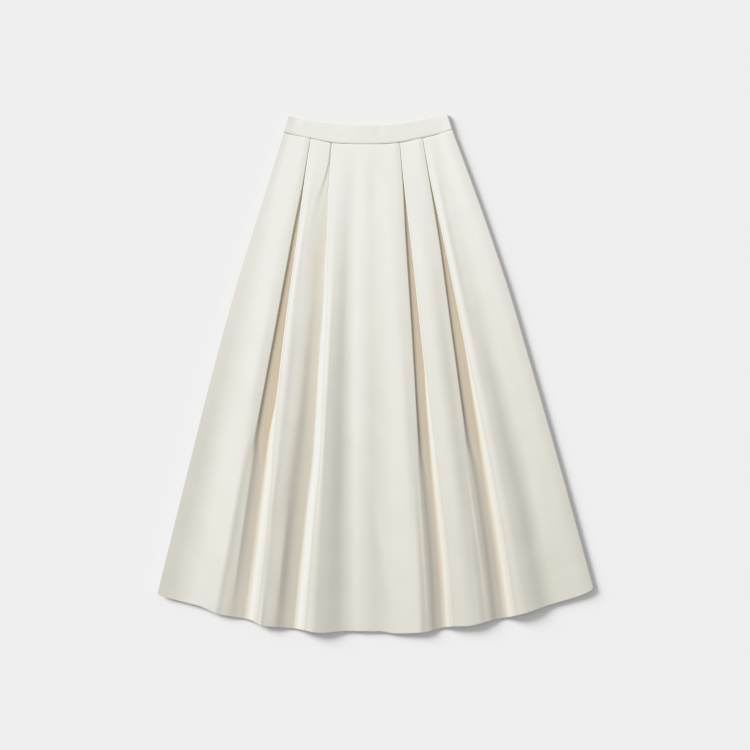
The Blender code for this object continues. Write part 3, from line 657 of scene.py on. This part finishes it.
# A painted shaded copy of the ivory, standing in for light that falls off towards the hem and the
# right
IVORY_PAINTED_SHADE = (0.621, 0.600, 0.530, 1.0)
PAINTED_FOLD_SHADE = (0.56, 0.445, 0.290, 1.0)  # painted shade inside a fold near the waist, and near the hem
PAINTED_FOLD_SHADE_LOW = (0.47, 0.43, 0.36, 1.0)
MIDDLE_SHADE_SHARE = 0.45  # share of the painted shade in the skirt's middle
HEM_SHADE_GROWTH, RIGHT_SHADE_GROWTH = 1.0, 0.5  # and how that painted shade grows towards the hem and the right, by the metre
CLOUD_TONE = 0.35  # the clouds shift it by up to half of this either way
CREPE_RELIEF = 0.00006  # metres


def ivory_crepe(name, light, bump):
    """Matt ivory crepe, a little cloudy, with painted shade, warm in the folds and greyer to the
    hem.
    """
    material = bpy.data.materials.new(name)
    material.use_nodes = True
    nodes, links = material.node_tree.nodes, material.node_tree.links
    shader = nodes["Principled BSDF"]
    shader.inputs["Roughness"].default_value = 0.8
    shader.inputs["Specular IOR Level"].default_value = 0.25
    shader.inputs["Sheen Weight"].default_value = 0.08
    shader.inputs["Sheen Roughness"].default_value = 0.5
    uv = nodes.new("ShaderNodeUVMap")
    uv.uv_map = "cloth"
    weave = nodes.new("ShaderNodeGroup")
    weave.node_tree = CREPE_WEAVE
    links.new(uv.outputs["UV"], weave.inputs["Cloth"])
    place_on_cloth = nodes.new("ShaderNodeTexCoord")
    parts = nodes.new("ShaderNodeSeparateXYZ")
    links.new(place_on_cloth.outputs["Object"], parts.inputs["Vector"])
    # Painted shade: the cloth darkens towards the hem and the right, where the light falls off,
    # with faint random clouds.
    painted_falloff = math_node(nodes, links, "MULTIPLY_ADD", weave.outputs["Clouds"], CLOUD_TONE,
                     MIDDLE_SHADE_SHARE - 0.5 * CLOUD_TONE)
    painted_falloff = math_node(nodes, links, "MULTIPLY_ADD", parts.outputs["Y"], -HEM_SHADE_GROWTH, painted_falloff)
    painted_falloff = math_node(nodes, links, "MULTIPLY_ADD", parts.outputs["X"], RIGHT_SHADE_GROWTH, painted_falloff)
    painted_falloff.node.use_clamp = True
    # Painted shade, warm and darker, inside the pleats and in the seams, where the attribute marks
    # it.
    painted_shade = nodes.new("ShaderNodeAttribute")
    painted_shade.attribute_name = "painted_shade"
    open_cloth = colour_mix(nodes, links, painted_falloff, light, IVORY_PAINTED_SHADE)
    shaded_fold_cloth = colour_mix(nodes, links, painted_falloff, PAINTED_FOLD_SHADE, PAINTED_FOLD_SHADE_LOW)
    links.new(colour_mix(nodes, links, painted_shade.outputs["Fac"], open_cloth, shaded_fold_cloth),
              shader.inputs["Base Color"])
    relief = nodes.new("ShaderNodeBump")
    relief.inputs["Strength"].default_value = bump
    relief.inputs["Distance"].default_value = CREPE_RELIEF
    links.new(weave.outputs["Height"], relief.inputs["Height"])
    links.new(relief.outputs["Normal"], shader.inputs["Normal"])
    return material


crepe = ivory_crepe("ivory_crepe", IVORY_LIGHT, 0.35)
front.data.materials.append(crepe)
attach(front, "skirt")
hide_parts("front_panel")


# Waistband front. A shaped band of the same crepe, interfaced and folded over along its top edge.
# It is seamed to the front panel, in a ditch that shows as a thin line, and to the band's back.
BAND_SEEN = 1.3  # the interfaced cloth as it is seen
BAND_CLOTH = 1.4  # and the room that it takes
BAND_LIGHT = (0.803, 0.782, 0.704, 1.0)
BAND_SIDE_RISE = 0.6  # its sides stand this much above the panel's
BAND_SIDE_COUNTS = (2, 4, 12)  # points in each stretch of the left side, and of the right side
BAND_RIGHT_COUNTS = (4, 2)
BAND_EDGE_ROWS = (0.0, 0.3, 0.7, 1.2, 2.0, 3.2)  # rows close to its two edges
BAND_STEP = 2.4  # between the other rows
PUCKER_HEIGHTS = (5.6, 5.0)  # puckers fully above the first height, and none below the second

# Columns: angle, height at the top edge, height at the seam
BAND_FRONT = (
    (-13.6, 5.7, 5.9),
    (-9.0, 6.2, 6.0),
    (-5.0, 6.1, 6.3),
    (-1.5, 6.8, 6.6),
    (1.0, 6.9, 6.7),
    (3.5, 6.8, 6.6),
    (8.0, 6.1, 6.2),
    (12.0, 6.2, 6.0),
    (15.5, 5.7, 5.9),
)

# Puckers along the folded top edge. Columns as the small creases have
BAND_PUCKERS = (
    (-13.9, -46, -13.3, -17, 8, -0.35),
    (-12.2, -43, -11.9, -12, 5, 0.18),
    (-5.6, -45, -5.4, -20, 9, -0.30),
    (-1.2, -40, -0.9, -6, 14, 0.16),
    (3.1, -42, 3.4, -13, 8, -0.38),
    (5.4, -38, 5.1, -4, 9, 0.16),
    (9.4, -44, 9.6, -14, 10, -0.30),
    (13.9, -48, 13.6, -22, 8, -0.30),
)


def band_front_corners(down):
    """Corners of the band's front, from its left side seam to its right one."""
    radius, share = WAIST_RADIUS + down, (down + BAND_DEPTH) / BAND_DEPTH
    seam, top = SIDE_SEAM_HEIGHT + SEAM_GAP / 2, SIDES[0][3] + BAND_SIDE_RISE
    left = math.radians(SIDES[0][1]) * radius + BAND_CLOTH / 2
    right = math.radians(SIDES[0][2]) * radius - BAND_CLOTH / 2
    stand = seam + SEAM_STAND
    corners = [(left, seam, 0, "soft", BAND_SIDE_COUNTS[0], 0.0),
               (left, stand, 0, "soft", BAND_SIDE_COUNTS[1], 0.0),
               (left, top, SIDE_REACH, "fold", BAND_SIDE_COUNTS[2], 0.0)]
    for angle, upper, lower in BAND_FRONT:
        height = upper + (lower - upper) * share
        corners.append((math.radians(angle) * radius, height, radius, "soft", SOFT_COUNT, 0.0))
    return corners + [(right, top, SIDE_REACH, "fold", BAND_RIGHT_COUNTS[0], 0.0),
                      (right, stand, 0, "soft", BAND_RIGHT_COUNTS[1], 0.0),
                      (right, seam, 0, "soft", 0, 0.0)]


def edged_rows(top, bottom, edge_rows, step):
    """Distances down between two edges, closer together near both."""
    edge_rows = np.array(edge_rows)
    between = np.arange(top + edge_rows[-1] + step, bottom - edge_rows[-1], step)
    return np.concatenate((top + edge_rows, between, bottom - edge_rows[::-1]))


band_downs = edged_rows(-BAND_DEPTH, -SEAM_LINE, BAND_EDGE_ROWS, BAND_STEP)
band_lines, band_painted_shade = zip(*(section_line(band_front_corners(down)) for down in band_downs))
band_lines, band_painted_shade = np.array(band_lines), np.array(band_painted_shade)
on_band = ramp(band_lines[..., 1], *PUCKER_HEIGHTS)
band_lines[..., 1] += crease_relief(band_lines, band_downs, BAND_PUCKERS) * on_band
band_lines[..., 1] -= seam_dip(band_lines[..., 1], band_downs[:, None])
# Painted shade, warm and darker, in the ditch of the waist seam.
seam_painted_shade = SEAM_PAINTED_SHADE * ramp(-band_downs[:, None], 0.0, SEAM_SHADE_REACH)
band_painted_shade = np.maximum(band_painted_shade, seam_painted_shade)
band_wall = BAND_SEEN / 2 * wall_share(band_lines, band_downs, -BAND_DEPTH, -SEAM_LINE,
                                       bottom_round=SEWN_ROUND)
band_front = cloth_wall("band_front", band_downs, band_lines, band_painted_shade, band_wall, band_wall)
band_crepe = ivory_crepe("ivory_crepe_interfaced", BAND_LIGHT, 0.3)
band_front.data.materials.append(band_crepe)
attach(band_front, "skirt")
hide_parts("waistband_front")


# Back panels and the band's back. Two flared panels of the same crepe lie flat on the floor and
# curl up to the side seams. They meet at the centre back and rise a little over the zip's pull tab.
BACK_ANGLE = 1.0  # of the centre back, which hangs a little to the right
BACK_CLOTH = 1.1  # the back's cloth as it is seen
HEM_SETBACK = 6.0  # the back's hem lies this far inside the front's
SIDE_CURL = ((0, 1), (0, 0.55), (0.15, 0.2), (0.5, 0), (1.2, 0))  # shares of its rise: in, and up
SIDE_CURL_COUNTS = (3, 4, 4, 4, 34)  # points in each stretch, the last one across the back
LIFT = 2.1  # rise of the back over the tab
LIFT_HALF_WIDTHS = (5.0, 22.0)  # full lift to the first, none past the second
LIFT_DOWNS = (-8.0, 30.0)  # full lift above the first, none below the second
LIFT_SHARES = (1.0, 0.8, 0.6, 0.42, 0.25, 0.1)  # corners there, as shares of the wider half width
LIFT_COUNT = 4  # points between two of them
LAST_SPAN = 0.8  # least distance of a corner from the centre back's edge
SLIT_HALF_WIDTH = 0.9  # gap that the slider's neck passes through
SLIT_END = -25.3  # the halves of the band meet again below this
SLIT_ROWS = (-25.6, -25.2, -24.4, -23.3)  # rows of the band close to the end of the slit
BACK_STEP = 12.0  # between two rows of the panels
RIDGE_HEIGHTS = (1.0, 2.0)  # ridges fully below the first height, none above the next

# Soft ridges on the back, columns as the small creases have
BACK_CREASES = (
    (-14.7, 250, -13.5, 780, 11, 0.5),
    (-2.9, 400, -0.9, 870, 13, 0.6),
    (2.7, 290, 3.1, 690, 10, 0.45),
    (15.4, 400, 14.6, 850, 12, 0.5),
)


def back_line(down):
    """Distance along its row of the centre back."""
    return math.radians(BACK_ANGLE) * (WAIST_RADIUS + down)


def lift(from_back_line, down):
    """Rise of the back over the pull tab."""
    return LIFT * ramp(np.abs(from_back_line), *LIFT_HALF_WIDTHS) * ramp(down, *LIFT_DOWNS)


def back_corners(side, down, wall, slit):
    """Corners of the right or left half (side 1 or -1) of the back, from left to right."""
    radius = WAIST_RADIUS + down
    side_angle = eased(SIDES, np.float64(down))[1 if side > 0 else 0]
    outer = abs(math.radians(side_angle - BACK_ANGLE)) * radius - wall / 2
    middle = wall / 2
    turn = SIDE_SEAM_HEIGHT - SEAM_GAP / 2 - middle
    points = [(outer - turn * inward, middle + turn * upward) for inward, upward in SIDE_CURL]
    offsets = [max(share * LIFT_HALF_WIDTHS[1], slit + LAST_SPAN) for share in LIFT_SHARES] + [slit]
    points += [(offset, middle + float(lift(offset, down))) for offset in offsets]
    counts = [*SIDE_CURL_COUNTS, *[LIFT_COUNT] * len(LIFT_SHARES)]
    if side > 0:
        points, counts = points[::-1], counts[::-1]
    return [(back_line(down) + side * along, height, radius, "soft", count, 0.0)
            for (along, height), count in zip(points, counts + [0])]


def back_piece(side, name, node, downs, room, seen, slit_to, setback, material):
    """A half of the back. Its underside stays where the room that it takes has it."""
    gaps = [SLIT_HALF_WIDTH if down <= slit_to else SEAM_GAP / 2 for down in downs]
    lines, painted_shade = zip(*(section_line(back_corners(side, down, room, gap))
                          for down, gap in zip(downs, gaps)))
    lines, painted_shade = np.array(lines), np.array(painted_shade)
    on_floor = ramp(lines[..., 1], *RIDGE_HEIGHTS)
    lines[..., 1] += crease_relief(lines, downs, BACK_CREASES) * on_floor
    share = wall_share(lines, downs, downs[0], downs[-1])
    upper, lower = (seen - room / 2) * share, room / 2 * share
    piece = cloth_wall(name, downs, lines, painted_shade, upper, lower, setback)
    piece.data.materials.append(material)
    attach(piece, "skirt")
    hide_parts(node)


back_downs = edged_rows(SEAM_GAP / 2, SKIRT_LENGTH, EDGE_ROWS, BACK_STEP)
band_back_downs = edged_rows(-BAND_DEPTH, -SEAM_GAP / 2, BAND_EDGE_ROWS, BAND_STEP)
band_back_downs = np.unique(np.concatenate((band_back_downs, SLIT_ROWS)))
for side, hand in ((-1, "left"), (1, "right")):
    back_piece(side, "skirt_back_" + hand, "back_panel_" + hand, back_downs, CLOTH_ROOM, BACK_CLOTH,
               -math.inf, HEM_SETBACK, crepe)
    back_piece(side, "band_back_" + hand, "waistband_back_" + hand, band_back_downs, BAND_CLOTH,
               BAND_SEEN, SLIT_END, 0.0, band_crepe)


# Concealed zip. A fine woven tape with a nylon coil is sewn inside the centre back seam. Its ivory
# enamelled slider is at the closed end, with the flat pull tab under the cloth.
TAPE_HALF_WIDTH = 12.0
TAPE_POINTS = 49  # across the tape
TAPE_SEEN = 0.6  # thickness
TAPE_TOP, TAPE_END, TAPE_STEP = -25.0, 185.0, 5.0  # down, and the distance between its rows
COIL_PITCH = 1.4
COIL_RISE = 0.25  # the coil's middle over the tape
COIL_TURN = (0.0009, 0.0046, 0.0008)  # metres: along the zip, across it, and high
TAPE_STITCH = (0.0016, 0.00035, 0.0003)
TAPE_STITCH_PITCH = 2.6
TAPE_STITCH_OFFSET = 8.5  # from the middle of the coil
THREAD_IVORY = (0.80, 0.78, 0.70, 1.0)
TAPE_LIGHT, TAPE_SHADE = (0.80, 0.78, 0.70, 1.0), (0.66, 0.64, 0.57, 1.0)
COIL_LIGHT, COIL_SHADE = (0.82, 0.80, 0.73, 1.0), (0.70, 0.68, 0.61, 1.0)
ENAMEL_LIGHT, ENAMEL_SHADE = (0.80, 0.78, 0.71, 1.0), (0.68, 0.66, 0.59, 1.0)
SPECKLE_RELIEF = 0.00005  # metres
ROUGHNESS_SWING = 0.2  # between the smoothest and the roughest speckle


def speckle_group():
    """Fine speckles, as in the fibres of thread and tape, or in sprayed enamel."""
    group, start, end = shader_group("fine_speckle", (("Speckle Size", "NodeSocketFloat", 0.001),),
                                     (("Speckle", "NodeSocketFloat"),))
    nodes, links = group.nodes, group.links
    where = nodes.new("ShaderNodeTexCoord").outputs["Object"]
    speckles = noise_at(nodes, links, where, start.outputs["Speckle Size"], 3.0)
    links.new(speckles, end.inputs["Speckle"])
    return group


FINE_SPECKLE = speckle_group()


def speckled(name, light, shade, size, roughness, relief):
    """A finish whose colour, gloss and surface vary with fine speckles."""
    material = bpy.data.materials.new(name)
    material.use_nodes = True
    nodes, links = material.node_tree.nodes, material.node_tree.links
    shader = nodes["Principled BSDF"]
    speckle = nodes.new("ShaderNodeGroup")
    speckle.node_tree = FINE_SPECKLE
    speckle.inputs["Speckle Size"].default_value = size
    spots = speckle.outputs["Speckle"]
    links.new(colour_mix(nodes, links, spots, light, shade), shader.inputs["Base Color"])
    rough = math_node(nodes, links, "MULTIPLY_ADD", spots, ROUGHNESS_SWING,
                      roughness - ROUGHNESS_SWING / 2)
    links.new(rough, shader.inputs["Roughness"])
    bump = nodes.new("ShaderNodeBump")
    bump.inputs["Strength"].default_value = relief
    bump.inputs["Distance"].default_value = SPECKLE_RELIEF
    links.new(spots, bump.inputs["Height"])
    links.new(bump.outputs["Normal"], shader.inputs["Normal"])
    return material


def row_tree():
    """A Geometry Nodes tree that lays one small rounded shape after another along a path."""
    tree = bpy.data.node_groups.new("row_along_path", "GeometryNodeTree")
    for name, kind in (("Path", "NodeSocketGeometry"), ("Pitch", "NodeSocketFloat"),
                       ("Size", "NodeSocketVector"), ("Finish", "NodeSocketMaterial")):
        tree.interface.new_socket(name, in_out="INPUT", socket_type=kind)
    tree.interface.new_socket("Row", in_out="OUTPUT", socket_type="NodeSocketGeometry")
    nodes, links = tree.nodes, tree.links
    start, end = nodes.new("NodeGroupInput"), nodes.new("NodeGroupOutput")
    to_curve = nodes.new("GeometryNodeMeshToCurve")
    spaced = nodes.new("GeometryNodeResampleCurve")
    spaced.mode = "LENGTH"
    tangent = nodes.new("GeometryNodeInputTangent")
    aimed = nodes.new("FunctionNodeAlignRotationToVector")
    shape = nodes.new("GeometryNodeMeshUVSphere")
    shape.inputs["Segments"].default_value = 8
    shape.inputs["Rings"].default_value = 4
    shape.inputs["Radius"].default_value = 0.5
    laid = nodes.new("GeometryNodeInstanceOnPoints")
    real = nodes.new("GeometryNodeRealizeInstances")
    finish = nodes.new("GeometryNodeSetMaterial")
    links.new(start.outputs["Path"], to_curve.inputs["Mesh"])
    links.new(to_curve.outputs["Curve"], spaced.inputs["Curve"])
    links.new(start.outputs["Pitch"], spaced.inputs["Length"])
    links.new(spaced.outputs["Curve"], laid.inputs["Points"])
    links.new(shape.outputs["Mesh"], laid.inputs["Instance"])
    links.new(tangent.outputs["Tangent"], aimed.inputs["Vector"])
    aimed.axis = "X"
    links.new(aimed.outputs["Rotation"], laid.inputs["Rotation"])
    links.new(start.outputs["Size"], laid.inputs["Scale"])
    links.new(laid.outputs["Instances"], real.inputs["Geometry"])
    links.new(real.outputs["Geometry"], finish.inputs["Geometry"])
    links.new(start.outputs["Finish"], finish.inputs["Material"])
    links.new(finish.outputs["Geometry"], end.inputs["Row"])
    return tree


ROW_TREE = row_tree()


def row_along(name, paths, pitch, size, finish):
    """One piece made of small shapes in rows, one row along each path of points."""
    points = np.concatenate(paths)
    edges, first = [], 0
    for path in paths:
        edges += [(k, k + 1) for k in range(first, first + len(path) - 1)]
        first += len(path)
    path_mesh = bpy.data.meshes.new(name + "_path")
    path_mesh.from_pydata(points, edges, [])
    carrier = bpy.data.objects.new(name + "_path", path_mesh)
    bpy.context.scene.collection.objects.link(carrier)
    modifier = carrier.modifiers.new("row", "NODES")
    modifier.node_group = ROW_TREE
    values = {"Pitch": pitch * MM, "Size": size, "Finish": finish}
    for item in ROW_TREE.interface.items_tree:
        if item.in_out == "INPUT" and item.name in values:
            modifier[item.identifier] = values[item.name]
    evaluated = carrier.evaluated_get(bpy.context.evaluated_depsgraph_get())
    mesh = bpy.data.meshes.new_from_object(evaluated)
    bpy.data.objects.remove(carrier, do_unlink=True)
    mesh.name = name
    mesh.shade_smooth()
    piece = bpy.data.objects.new(name, mesh)
    bpy.context.scene.collection.objects.link(piece)
    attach(piece, "skirt")
    return piece


tape_downs = np.arange(TAPE_TOP, TAPE_END + TAPE_STEP / 2, TAPE_STEP)
tape_offsets = np.linspace(-TAPE_HALF_WIDTH, TAPE_HALF_WIDTH, TAPE_POINTS)
tape_middle = BAND_CLOTH + SEAM_GAP + TAPE_SEEN / 2
tape_lines = np.array([np.column_stack((back_line(down) + tape_offsets,
                                        np.full(TAPE_POINTS, tape_middle + float(lift(0, down)))))
                       for down in tape_downs])
tape_wall = TAPE_SEEN / 2 * wall_share(tape_lines, tape_downs, tape_downs[0], tape_downs[-1])
tape = cloth_wall("zip_tapes", tape_downs, tape_lines, np.zeros(tape_lines.shape[:2]),
                  tape_wall, tape_wall)
tape.data.materials.append(speckled("ivory_tape", TAPE_LIGHT, TAPE_SHADE, 0.0006, 0.75, 0.5))


def path_on_tape(offset, height):
    """Points in metres along the tape, at an offset from the centre back and from its middle up."""
    downs = tape_downs[1:-1]
    along = np.array([back_line(down) for down in downs]) + offset
    return place(along, downs, tape_middle + lift(0, downs) + height)


coil = row_along("zip_coil", [path_on_tape(0, TAPE_SEEN / 2 + COIL_RISE)], COIL_PITCH, COIL_TURN,
                 speckled("nylon_coil", COIL_LIGHT, COIL_SHADE, 0.002, 0.45, 0.2))
ivory_thread = speckled("ivory_thread", THREAD_IVORY, TAPE_SHADE, 0.0004, 0.7, 0.5)
stitch_paths = [path_on_tape(side * TAPE_STITCH_OFFSET, TAPE_SEEN / 2) for side in (-1, 1)]
tape_stitches = row_along("tape_stitches", stitch_paths, TAPE_STITCH_PITCH, TAPE_STITCH,
                          ivory_thread)
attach(tape, "skirt")
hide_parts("zip_tape")
enamel = speckled("ivory_enamel", ENAMEL_LIGHT, ENAMEL_SHADE, 0.0012, 0.32, 0.15)
for node in ("zip_slider", "zip_pull"):
    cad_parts[node].material_slots[0].material = enamel


# Hem stitches. Small blind stitches of ivory thread hold the narrow turned hem of the front. They
# sink into the crepe, so that only a faint line shows just above the edge.
HEM_STITCH = (0.0015, 0.00035, 0.00022)  # metres: along the hem, across it, and high
HEM_STITCH_PITCH = 3.2
HEM_STITCH_RISE = 4.4  # up from the edge
HEM_STITCH_SIDE_POINTS = 8  # section points at each side seam that have none
hem_row = int(np.argmin(np.abs(SKIRT_LENGTH - front_downs - HEM_STITCH_RISE)))
stitched = offset_lines(front_lines, front_upper)[hem_row]
stitched = stitched[HEM_STITCH_SIDE_POINTS:-HEM_STITCH_SIDE_POINTS]
hem_path = place(stitched[:, 0], np.full(len(stitched), front_downs[hem_row]), stitched[:, 1])
hem_stitches = row_along("hem_stitches", [hem_path], HEM_STITCH_PITCH, HEM_STITCH, ivory_thread)
